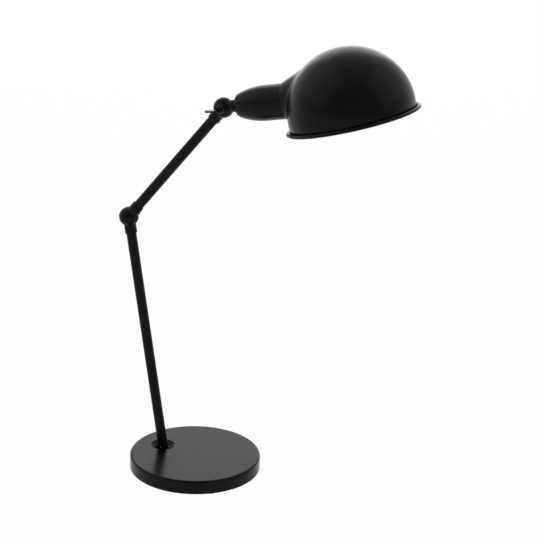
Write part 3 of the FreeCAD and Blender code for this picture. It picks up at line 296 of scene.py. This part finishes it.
LAMP_MIDDLE = (0.05, 0.0, 0.35)
soft_box("key_box", (-2.2, -1.6, 3.0), LAMP_MIDDLE, 4.0, 24)
soft_box("fill_box", (2.6, 0.8, 2.6), LAMP_MIDDLE, 3.0, 14)
soft_box("back_box", (-1.5, 3.0, 1.7), LAMP_MIDDLE, 3.0, 30)

# %% [markdown]
# ## The powder coat
#
# The base, the arms, the knuckles, the cup and the shade are steel with a black polyester
# powder coat. The powder is sprayed on dry and melts in an oven, so it levels almost flat
# but keeps a very fine waviness, called orange peel, of a few thousandths of a millimetre.
# It is satin: it spreads reflections without killing them. Deep in shade it is nearly
# black, and it brightens where the eye meets the surface at a shallow angle. A painted
# layer this dark reflects less than clear plastic does, so its IOR is matched downwards.

# %% Powder coat


def coat_surface(tree, place):
    """Colour, waviness and roughness that all coated pieces share."""
    patches = noise(tree, place, 22.0)
    waves = noise(tree, place, 2.2, detail=1.0)
    return {
        "surface": ramp(tree, patches, linear("070708"), linear("0b0b0c")),
        "height": waves,
        "depth_mm": 0.006,
        "roughness": ramp(tree, patches, 0.21, 0.26),
        "ior": 1.2,
    }


coat, tree, place = new_material("black_satin_powder_coat")
finish_material(coat, tree, **coat_surface(tree, place))
dress(coat, "base_shell", "lower_tube", "elbow_lower_half", "elbow_upper_half", "upper_tube",
      "knuckle_arm_half", "knuckle_head_half", "elbow_lever", "head_lever", "socket_cup")

# %% [markdown]
# ## The shade, black outside and white inside
#
# The shade is one sheet of steel, so one object. Lamps of this kind are sprayed white on
# the inside, to throw the light down, and the photograph never shows the inside, so the
# white is a fair guess. The two paints need no second object: a point belongs to the
# inside if its surface faces the dome's centre, and the white stops just above the rolled
# rim. Texture Coordinate gives both the point and the way it faces.

# %% Shade paint
DOME_CENTRE = Vector((0.22630, 0.0, 0.57170))
DOME_TILT = math.radians(16.48)
dome_up = Vector((-math.sin(DOME_TILT), 0, math.cos(DOME_TILT)))
RIM_HEIGHT = -0.0122
WHITE_STOPS = RIM_HEIGHT + 0.0030

shade_paint, tree, place = new_material("powder_coat_black_out_white_in")
from_centre = add(tree, "ShaderNodeVectorMath", {"operation": "SUBTRACT"},
                  s0=place, s1=DOME_CENTRE).outputs[0]
facing = add(tree, "ShaderNodeTexCoord").outputs["Normal"]
outward = add(tree, "ShaderNodeVectorMath", {"operation": "DOT_PRODUCT"},
              s0=from_centre, s1=facing).outputs["Value"]
height = add(tree, "ShaderNodeVectorMath", {"operation": "DOT_PRODUCT"},
             s0=from_centre, s1=dome_up).outputs["Value"]
turned_in = add(tree, "ShaderNodeMath", {"operation": "LESS_THAN"}, s0=outward, s1=0.0).outputs[0]
above_rim = add(tree, "ShaderNodeMath", {"operation": "GREATER_THAN"},
                s0=height, s1=WHITE_STOPS).outputs[0]
inside = add(tree, "ShaderNodeMath", {"operation": "MULTIPLY"},
             s0=turned_in, s1=above_rim).outputs[0]
skin = coat_surface(tree, place)
white = ramp(tree, noise(tree, place, 30.0), linear("eeeeea"), linear("f3f3ef"))
skin["surface"] = add(tree, "ShaderNodeMix", {"data_type": "RGBA"},
                      s0=inside, s6=skin["surface"], s7=white).outputs[2]
finish_material(shade_paint, tree, **skin)
dress(shade_paint, "shade")

# %% [markdown]
# ## Metals that are not painted
#
# The hidden hardware is zinc-plated steel: the plating is grey with a faint cloudy
# pattern, neither mirror nor matt. The grub screws are black oxide, a dark bluish skin
# over steel. Brass is used where current or a thread needs it, turned on a lathe. The
# bulb's cap is rolled aluminium. The weight is a raw iron casting, dull and grainy like
# the sand it was poured into. Each is a metal except the casting's skin, so its colour is
# the colour of its reflection, and its IOR stays as Blender has it.

# %% Hardware


def metal(name, dark, bright, cloud_mm, smooth, dull, grain_mm, depth_mm):
    """A bare metal: two close colours in clouds, with fine grain in its surface."""
    material, tree, place = new_material(name)
    clouds = noise(tree, place, cloud_mm)
    return finish_material(
        material, tree, ramp(tree, clouds, linear(dark), linear(bright)),
        noise(tree, place, grain_mm), depth_mm,
        roughness=ramp(tree, clouds, smooth, dull), metallic=1.0,
    )


zinc = metal("bright_zinc_plate", "a9adb1", "c4c6c6", 6.0, 0.30, 0.42, 0.8, 0.004)
dress(zinc, "bottom_plate", "base_screws", "pivot_bracket", "bracket_rivets", "pivot_bolt",
      "pivot_nut", "pivot_spring_washer", "arm_foot", "foot_pin")
black_oxide = metal("black_oxide_skin", "2a2b2e", "36373a", 3.0, 0.36, 0.46, 0.6, 0.004)
dress(black_oxide, "lower_set_screw", "upper_set_screws")
brass = metal("turned_brass", "bd9448", "d2ad62", 4.0, 0.22, 0.34, 0.7, 0.003)
dress(brass, "terminal_screws", "cup_nipple", "cup_nut", "thread_shell", "centre_contact",
      "bulb_contact")
aluminium = metal("rolled_aluminium", "b9bbbd", "d0d1d2", 5.0, 0.26, 0.36, 0.7, 0.003)
dress(aluminium, "bulb_cap")

# %% Raw iron casting
casting, tree, place = new_material("raw_iron_casting")
sand = noise(tree, place, 1.2, detail=3.0, rough=0.6)
finish_material(casting, tree, ramp(tree, sand, linear("2f2e2d"), linear("4a4947")), sand, 0.12,
                roughness=ramp(tree, sand, 0.72, 0.86), metallic=0.25)
dress(casting, "base_weight")

# %% [markdown]
# ## Rubber, plastics, fibre and vinyl
#
# These are all moulded or pressed, so their colour goes right through. The rubber of the
# feet is matt with a fine bloom. Nylon washers are black and waxy. The lampholder is
# phenolic, an old hard plastic with a deep shine and faint darker flow clouds. The
# terminal block is pale polyamide. Friction discs are pressed fibre, reddish brown with
# short strands. The inner leads have a soft off-white vinyl sheath.

# %% Moulded materials


def moulded(name, low, high, cloud_mm, smooth, dull, grain_mm, depth_mm, ior=1.5, detail=2.0):
    """A material whose colour goes right through: clouds of two tones and a fine skin."""
    material, tree, place = new_material(name)
    clouds = noise(tree, place, cloud_mm, detail=detail)
    return finish_material(
        material, tree, ramp(tree, clouds, linear(low), linear(high)),
        noise(tree, place, grain_mm), depth_mm,
        roughness=ramp(tree, clouds, smooth, dull), ior=ior,
    )


dress(moulded("moulded_black_rubber", "151515", "1d1d1d", 5.0, 0.72, 0.84, 0.8, 0.02, 1.52),
      "rubber_feet", "cord_grommet")
dress(moulded("waxy_black_nylon", "121213", "19191a", 4.0, 0.42, 0.52, 0.9, 0.006, 1.53),
      "elbow_friction_ring", "head_friction_ring", "elbow_lever_washer", "head_lever_washer")
phenolic = moulded("glossy_phenolic", "17110e", "211813", 7.0, 0.20, 0.28, 1.5, 0.004, 1.6)
dress(phenolic, "lampholder_body", "shade_ring")
dress(moulded("pale_polyamide", "d8d5ca", "e4e1d7", 5.0, 0.42, 0.50, 0.9, 0.006, 1.53),
      "terminal_block")
dress(moulded("off_white_vinyl", "d6d2c6", "e0dcd1", 6.0, 0.46, 0.56, 0.9, 0.008, 1.53),
      "base_lead", "lower_lead", "upper_lead", "head_lead")
dress(moulded("pressed_fibre", "5e2f1e", "8a4a31", 1.4, 0.78, 0.9, 0.7, 0.03, 1.5, 5.0),
      "pivot_friction_discs")

# %% [markdown]
# ## The bulb's glass
#
# The bulb is frosted on the inside: its skin outside is smooth and glossy, and the frost
# behind it spreads the light, so it looks milky rather than clear. A milky body that
# lets a little light through, under a smooth skin, looks the same.

# %% Frosted glass
glass, tree, place = new_material("inside_frosted_glass")
frost = noise(tree, place, 9.0)
finish_material(glass, tree, ramp(tree, frost, linear("f0eee8"), linear("f6f4f0")),
                roughness=ramp(tree, frost, 0.42, 0.48), ior=1.5, transmission_weight=0.15,
                coat_weight=0.6, coat_roughness=0.06, coat_ior=1.5)
dress(glass, "bulb_glass")

# %% [markdown]
# ## Drawing small turned pieces
#
# Screws, the bulb's cap and the holder's brass sleeve are round, so each is a half
# outline spun about an axis. The outline is cut into short steps first, because a thread
# needs points to move. Everything is drawn standing on the Z axis in millimetres, which
# is easy to check, and is put in its place in the lamp only when it is finished.

# %% Turned shapes


def dense(outline, step):
    """The outline of (height, radius) points, with a point at least every step."""
    points = [outline[0]]
    for (z0, r0), (z1, r1) in zip(outline, outline[1:]):
        count = max(1, math.ceil(math.hypot(z1 - z0, r1 - r0) / step))
        points += [(z0 + (z1 - z0) * i / count, r0 + (r1 - r0) * i / count)
                   for i in range(1, count + 1)]
    return points


def turned(name, outline, around, closed=False, crease=35):
    """A shape spun about Z from (height, radius) points in mm, smooth but for its edges."""
    points = outline + outline[:1] if closed else outline
    form = bmesh.new()
    rows = []
    for z, r in points[: -1 if closed else None]:
        rows.append([
            form.verts.new((r * math.cos(2 * math.pi * i / around) * MM,
                            r * math.sin(2 * math.pi * i / around) * MM, z * MM))
            for i in range(around)
        ])
    pairs = list(zip(rows, rows[1:])) + ([(rows[-1], rows[0])] if closed else [])
    for low, high in pairs:
        for i in range(around):
            j = (i + 1) % around
            form.faces.new((low[i], low[j], high[j], high[i]))
    bmesh.ops.remove_doubles(form, verts=form.verts, dist=1e-6)
    bmesh.ops.recalc_face_normals(form, faces=form.faces)
    mesh = bpy.data.meshes.new(name)
    form.to_mesh(mesh)
    form.free()
    mesh.shade_smooth()
    mesh.set_sharp_from_angle(angle=math.radians(crease))
    piece = bpy.data.objects.new(name, mesh)
    scene.collection.objects.link(piece)
    return piece


def settled(piece, place=None):
    """The piece with its modifiers turned into plain mesh, then moved to its place."""
    graph = bpy.context.evaluated_depsgraph_get()
    mesh = bpy.data.meshes.new_from_object(piece.evaluated_get(graph))
    piece.modifiers.clear()
    piece.data = mesh
    if place is not None:
        mesh.transform(place)
    return piece


def compare(piece, node):
    """Prints how far the piece's box is from that of the node that it stands for."""
    corners = [Vector(vertex.co) for vertex in piece.data.vertices]
    low = [min(corner[i] for corner in corners) for i in range(3)]
    high = [max(corner[i] for corner in corners) for i in range(3)]
    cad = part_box(node)
    off = max(abs(a - b) for a, b in zip([*low, *high], [*cad[0], *cad[1]])) * 1000
    print(piece.name, len(piece.data.polygons), "faces, box within", round(off, 2), "mm of", node)


# %% [markdown]
# ## A thread as a rule
#
# A thread is one rule for every point of a round skin: move in by an amount that depends
# on height minus angle. Go once round and the pattern has climbed by one pitch. Cutting
# the groove with a tool shape would work too, but it is slow and leaves ragged faces. As
# a Geometry Nodes tree, the rule has its pitch, depth and length as inputs, so the bulb's
# cap, the brass sleeve that it screws into and the steel screws share it. The edges of
# the groove are round, as they are on a thread that is rolled and not cut.

# %% Thread tree


def input_sockets(tree, *sockets):
    tree.interface.new_socket(name="Geometry", in_out="INPUT", socket_type="NodeSocketGeometry")
    for name, kind in sockets:
        tree.interface.new_socket(name=name, in_out="INPUT", socket_type="NodeSocket" + kind)
    tree.interface.new_socket(name="Geometry", in_out="OUTPUT", socket_type="NodeSocketGeometry")


def maths(tree, operation, first, second=None, third=None):
    """One step of arithmetic on numbers or outputs."""
    values = {f"s{i}": v for i, v in enumerate((first, second, third)) if v is not None}
    return add(tree, "ShaderNodeMath", {"operation": operation}, **values).outputs[0]


thread_tree = bpy.data.node_groups.new("rolled_thread", "GeometryNodeTree")
input_sockets(thread_tree, ("Pitch", "Float"), ("Depth", "Float"), ("Start", "Float"),
              ("Stop", "Float"), ("Fade", "Float"), ("Material", "Material"))
given = thread_tree.nodes.new("NodeGroupInput").outputs
spot = add(thread_tree, "GeometryNodeInputPosition").outputs[0]
x, y, z = add(thread_tree, "ShaderNodeSeparateXYZ", s0=spot).outputs
height = maths(thread_tree, "SUBTRACT", z, given["Start"])
climb = maths(thread_tree, "DIVIDE", height, given["Pitch"])
round_part = maths(thread_tree, "DIVIDE", maths(thread_tree, "ARCTAN2", y, x), 2 * math.pi)
wave = maths(thread_tree, "COSINE", maths(
    thread_tree, "MULTIPLY", maths(thread_tree, "SUBTRACT", climb, round_part), 2 * math.pi))
groove = maths(thread_tree, "MULTIPLY_ADD", wave, -0.5, 0.5)
full_from = maths(thread_tree, "ADD", given["Start"], given["Fade"])
begin = add(thread_tree, "ShaderNodeMapRange", {"interpolation_type": "SMOOTHSTEP"}, s0=z,
            s1=given["Start"], s2=full_from).outputs[0]
end = add(thread_tree, "ShaderNodeMapRange", {"interpolation_type": "SMOOTHSTEP"}, s0=z,
          s1=maths(thread_tree, "SUBTRACT", given["Stop"], given["Fade"]), s2=given["Stop"],
          s3=1.0, s4=0.0).outputs[0]
amount = maths(thread_tree, "MULTIPLY", maths(thread_tree, "MULTIPLY", begin, end), groove)
inwards = maths(thread_tree, "MULTIPLY", amount,
                maths(thread_tree, "MULTIPLY", given["Depth"], -1.0))
outline_way = add(thread_tree, "ShaderNodeVectorMath", {"operation": "NORMALIZE"},
                  s0=add(thread_tree, "ShaderNodeCombineXYZ", s0=x, s1=y).outputs[0]).outputs[0]
shift = add(thread_tree, "ShaderNodeVectorMath", {"operation": "SCALE"}, s0=outline_way,
            scale=inwards).outputs[0]
moved = add(thread_tree, "GeometryNodeSetPosition", geometry=given["Geometry"], offset=shift)
real = add(thread_tree, "GeometryNodeRealizeInstances", geometry=moved.outputs[0])
coloured = add(thread_tree, "GeometryNodeSetMaterial", geometry=real.outputs[0],
               material=given["Material"])
add(thread_tree, "NodeGroupOutput", geometry=coloured.outputs[0])
print("thread tree has", len(thread_tree.nodes), "nodes")

# %% [markdown]
# ## Copies at seats
#
# Three screws hold the bottom plate, and small grub screws pin the knuckles to the tubes.
# Each kind is drawn once and repeated by a second tree: one point per screw, each with
# the way that the screw faces, and a copy of the screw on every point. The points are not
# typed in. They are the middles of the loose bits of the model's own screws.

# %% Copy tree
copy_tree = bpy.data.node_groups.new("copies_at_seats", "GeometryNodeTree")
input_sockets(copy_tree, ("Piece", "Object"), ("Material", "Material"))
given = copy_tree.nodes.new("NodeGroupInput").outputs
shape = add(copy_tree, "GeometryNodeObjectInfo", object=given["Piece"]).outputs["Geometry"]
way = add(copy_tree, "GeometryNodeInputNamedAttribute", {"data_type": "FLOAT_VECTOR"}, name="way")
faced = add(copy_tree, "FunctionNodeAlignRotationToVector", {"axis": "Z"}, vector=way.outputs[0])
copies = add(copy_tree, "GeometryNodeInstanceOnPoints", points=given["Geometry"], instance=shape,
             rotation=faced.outputs[0])
real = add(copy_tree, "GeometryNodeRealizeInstances", geometry=copies.outputs[0])
coloured = add(copy_tree, "GeometryNodeSetMaterial", geometry=real.outputs[0],
               material=given["Material"])
add(copy_tree, "NodeGroupOutput", geometry=coloured.outputs[0])
print("copy tree has", len(copy_tree.nodes), "nodes")


def grown(form, tree, **values):
    """Adds the tree to the form with those inputs, named as on the tree in small letters."""
    modifier = form.modifiers.new(tree.name, "NODES")
    modifier.node_group = tree
    keys = {item.name.lower(): item.identifier for item in tree.interface.items_tree
            if item.in_out == "INPUT"}
    for name, value in values.items():
        modifier[keys[name]] = value
    return form


def loose_middles(name):
    """The middle of each loose bit of a node, in metres."""
    form = bmesh.new()
    form.from_mesh(nodes[name].data)
    bmesh.ops.remove_doubles(form, verts=form.verts, dist=1e-6)
    left, middles = set(form.verts), []
    while left:
        bit, edge = set(), [left.pop()]
        while edge:
            vertex = edge.pop()
            bit.add(vertex)
            near = {link.other_vert(vertex) for link in vertex.link_edges} & left
            left -= near
            edge += near
        low = [min(vertex.co[i] for vertex in bit) for i in range(3)]
        high = [max(vertex.co[i] for vertex in bit) for i in range(3)]
        middles.append(Vector(((a + b) / 2 for a, b in zip(low, high))))
    form.free()
    return sorted(middles, key=lambda middle: tuple(round(value, 5) for value in middle))


def copied(name, screw, seats, material):
    """The screw repeated at (point, way it faces) seats, as one plain mesh."""
    mesh = bpy.data.meshes.new(name)
    mesh.from_pydata([point for point, _ in seats], [], [])
    ways = mesh.attributes.new("way", "FLOAT_VECTOR", "POINT")
    for value, (_, way) in zip(ways.data, seats):
        value.vector = way
    piece = bpy.data.objects.new(name, mesh)
    scene.collection.objects.link(piece)
    settled(grown(piece, copy_tree, piece=screw, material=material))
    bpy.data.objects.remove(screw)
    return piece


# %% [markdown]
# ## Screws with a recess
#
# A cross recess is pressed into a screw's head by a tapered punch with four wings, and a
# grub screw has a six-sided hole for a key. Both are cut out with a Boolean, the right
# tool for a hole that follows no rule of the surface round it. The recess is what tells
# the eye "this comes apart", which is why it is worth drawing although it is 4 mm wide.

# %% Cutting a recess


def tapered_bar(form, length, width, tip_length, tip_width, depth, turn):
    """A bar that narrows from just outside z 0 to its depth, in mm, turned about Z."""
    corners = []
    outside = math.copysign(0.2, -depth)
    for z, across, wide in ((outside, length, width), (depth, tip_length, tip_width)):
        for x, y in ((-1, -1), (1, -1), (1, 1), (-1, 1)):
            spot = Vector((x * across / 2, y * wide / 2, z)) * MM
            corners.append(form.verts.new(Matrix.Rotation(turn, 3, "Z") @ spot))
    for face in ((3, 2, 1, 0), (4, 5, 6, 7), (0, 1, 5, 4), (1, 2, 6, 5),
                 (2, 3, 7, 6), (3, 0, 4, 7)):
        form.faces.new([corners[i] for i in face])
    bmesh.ops.recalc_face_normals(form, faces=form.faces)


def recess(piece, *bars, height=0.0):
    """Cuts bars out of the piece, whose recessed face is at that height in mm."""
    for number, bar in enumerate(bars):
        form = bmesh.new()
        tapered_bar(form, *bar)
        bmesh.ops.translate(form, verts=form.verts, vec=(0, 0, height * MM))
        mesh = bpy.data.meshes.new(f"{piece.name}_cutter_{number}")
        form.to_mesh(mesh)
        form.free()
        cutter = bpy.data.objects.new(mesh.name, mesh)
        scene.collection.objects.link(cutter)
        cut = piece.modifiers.new("recess", "BOOLEAN")
        cut.operation, cut.solver, cut.object = "DIFFERENCE", "EXACT", cutter
        settled(piece)
        bpy.data.objects.remove(cutter)
    return piece


# %% Bottom plate screws: 4 mm thread, pan head, cross recess
HEAD, REACH = 1.4, 17.4
outline = [(0, 0), (0, 2.6), (0.12, 3.05), (0.4, 3.42), (0.75, 3.6), (HEAD, 3.6), (HEAD, 2.0)]
outline += dense([(HEAD, 2.0), (REACH - 0.6, 2.0)], 0.1)[1:] + [(REACH, 1.5), (REACH, 0)]
screw = turned("plate_screw", outline, 32)
settled(grown(screw, thread_tree, pitch=0.7 * MM, depth=0.33 * MM, start=(HEAD + 0.5) * MM,
              stop=(REACH - 0.5) * MM, fade=0.5 * MM, material=zinc))
recess(screw, (4.0, 0.85, 1.5, 0.55, 1.05, 0.0), (4.0, 0.85, 1.5, 0.55, 1.05, math.pi / 2))
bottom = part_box("base_screws")[0][2]
seats = [(Vector((m.x, m.y, bottom)), (0, 0, 1)) for m in loose_middles("base_screws")]
plate_screws = copied("plate_screws_cross_recess", screw, seats, zinc)
compare(plate_screws, "base_screws")
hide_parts("base_screws")
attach(plate_screws, "base")

# %% Grub screws: 3 mm, with a 1.5 mm six-sided socket
BASE_PIVOT, ELBOW, KNUCKLE = (-52.7, 0, 9.6), (-114.484, 0, 365.68), (35.704, 0, 547.942)
FLATS = 1.5
for body, node, foot, tip in (
    ("lower_arm", "lower_set_screw", BASE_PIVOT, ELBOW),
    ("upper_arm", "upper_set_screws", ELBOW, KNUCKLE),
):
    start = Vector(foot) * MM
    along = (Vector(tip) - Vector(foot)).normalized()
    seats = []
    for spot in loose_middles(node):
        nearest = start + along * (spot - start).dot(along)
        seats.append((spot, (spot - nearest).normalized()))
    screw = turned("grub_screw", [(-0.8, 0), (-0.8, 1.3), (-0.6, 1.5), (0.62, 1.5), (0.8, 1.34),
                                  (0.8, 0)], 36)
    side = FLATS / math.sqrt(3)
    recess(screw, *[(FLATS, side, FLATS, side, -1.0, turn * math.pi / 3) for turn in range(3)],
           height=0.8)
    grubs = copied(node + "_hex_socket", screw, seats, black_oxide)
    compare(grubs, node)
    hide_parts(node)
    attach(grubs, body)

# %% [markdown]
# ## The bulb's cap and the sleeve that it screws into
#
# The bulb has the common 27 mm screw cap: aluminium rolled into a round thread that
# climbs 3.6 mm a turn, with a plain collar where the glass is cemented in. The holder's
# sleeve is brass rolled to match. Both use the thread tree with the same start and pitch,
# so crest meets groove all the way round, as it does when a bulb is screwed home.

# %% Cap and sleeve
CUP_TILT = math.radians(13.1)
CUP_RISE = 1.1
CAP_OUTSIDE, CAP_INSIDE, SLEEVE_OUTSIDE, SLEEVE_INSIDE = 13.2, 12.7, 14.05, 13.45
cup_along = Vector((math.cos(CUP_TILT), 0, math.sin(CUP_TILT)))
cup_up = Vector((-math.sin(CUP_TILT), 0, math.cos(CUP_TILT)))
cup_origin = Vector(KNUCKLE) * MM + cup_up * CUP_RISE * MM
in_cup = Matrix.Translation(cup_origin) @ Matrix(
    (Vector((0, 1, 0)), cup_up, cup_along)).transposed().to_4x4()

rolled = {"pitch": 25.4 / 7 * MM, "depth": 0.95 * MM, "start": 87.7 * MM, "stop": 98.3 * MM,
          "fade": 1.0 * MM}
skirt = dense([(87.5, CAP_OUTSIDE), (108.5, CAP_OUTSIDE)], 0.25)
lining = dense([(108.5, CAP_INSIDE), (87.5, CAP_INSIDE)], 0.25)
cap = turned("bulb_cap_rolled", [(84.5, 0), (84.5, 4.8)] + skirt + lining + [(87.5, 0)], 96)
settled(grown(cap, thread_tree, material=aluminium, **rolled), in_cup)
sleeve = turned("holder_sleeve_rolled",
                dense([(79.0, SLEEVE_OUTSIDE), (108.5, SLEEVE_OUTSIDE)], 0.25)
                + dense([(108.5, SLEEVE_INSIDE), (79.0, SLEEVE_INSIDE)], 0.25), 96, closed=True)
settled(grown(sleeve, thread_tree, material=brass, **rolled), in_cup)
for piece, node, finish in ((cap, "bulb_cap", "cap_aluminium"),
                            (sleeve, "thread_shell", "brass")):
    compare(piece, node)
    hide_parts(node)
    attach(piece, "head")

# %% [markdown]
# ## Finger ribs on the shade ring
#
# The shade is held by a phenolic ring that is screwed up by hand from inside, and such
# rings have ribs for the fingers. Each rib is a long low bump, most of it sunk in the
# ring, as it would be in the mould. A circle of points and one bump are the whole tree.

# %% Rib tree
RIBS, RIB_CIRCLE, RIB_SIZE, RIB_HEIGHT = 36, 23.9, (0.5, 0.85, 2.3), 105.9
rib_tree = bpy.data.node_groups.new("ribs_round_a_ring", "GeometryNodeTree")
input_sockets(rib_tree, ("Count", "Int"), ("Radius", "Float"), ("Size", "Vector"),
              ("Material", "Material"))
given = rib_tree.nodes.new("NodeGroupInput").outputs
circle = add(rib_tree, "GeometryNodeMeshCircle", vertices=given["Count"], radius=given["Radius"])
bump = add(rib_tree, "GeometryNodeMeshUVSphere", segments=12, rings=8, radius=1.0).outputs[0]
spot = add(rib_tree, "GeometryNodeInputPosition").outputs[0]
faced = add(rib_tree, "FunctionNodeAlignRotationToVector", {"axis": "X"}, vector=spot)
ribs = add(rib_tree, "GeometryNodeInstanceOnPoints", points=circle.outputs[0], instance=bump,
           rotation=faced.outputs[0], scale=given["Size"])
real = add(rib_tree, "GeometryNodeRealizeInstances", geometry=ribs.outputs[0])
smooth = add(rib_tree, "GeometryNodeSetShadeSmooth", geometry=real.outputs[0])
coloured = add(rib_tree, "GeometryNodeSetMaterial", geometry=smooth.outputs[0],
               material=given["Material"])
add(rib_tree, "NodeGroupOutput", geometry=coloured.outputs[0])

rib_ring = bpy.data.objects.new("shade_ring_ribs", bpy.data.meshes.new("shade_ring_ribs"))
scene.collection.objects.link(rib_ring)
settled(grown(rib_ring, rib_tree, count=RIBS, radius=RIB_CIRCLE * MM,
              size=tuple(value * MM for value in RIB_SIZE), material=phenolic),
        in_cup @ Matrix.Translation((0, 0, RIB_HEIGHT * MM)))
print("shade_ring_ribs", len(rib_ring.data.polygons), "faces")
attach(rib_ring, "head")

# %% [markdown]
# ## Check and finish
#
# Every piece must still be inside the box that the model had when it was loaded. How far the
# pieces reach past that box along each axis is printed, in millimetres.

# %% Size
low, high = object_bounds()
growth = [max(a - b, c - d) for a, b, c, d in zip(cad_low, low, high, cad_high)]
print("grew by mm", [round(value * 1000, 2) for value in growth])
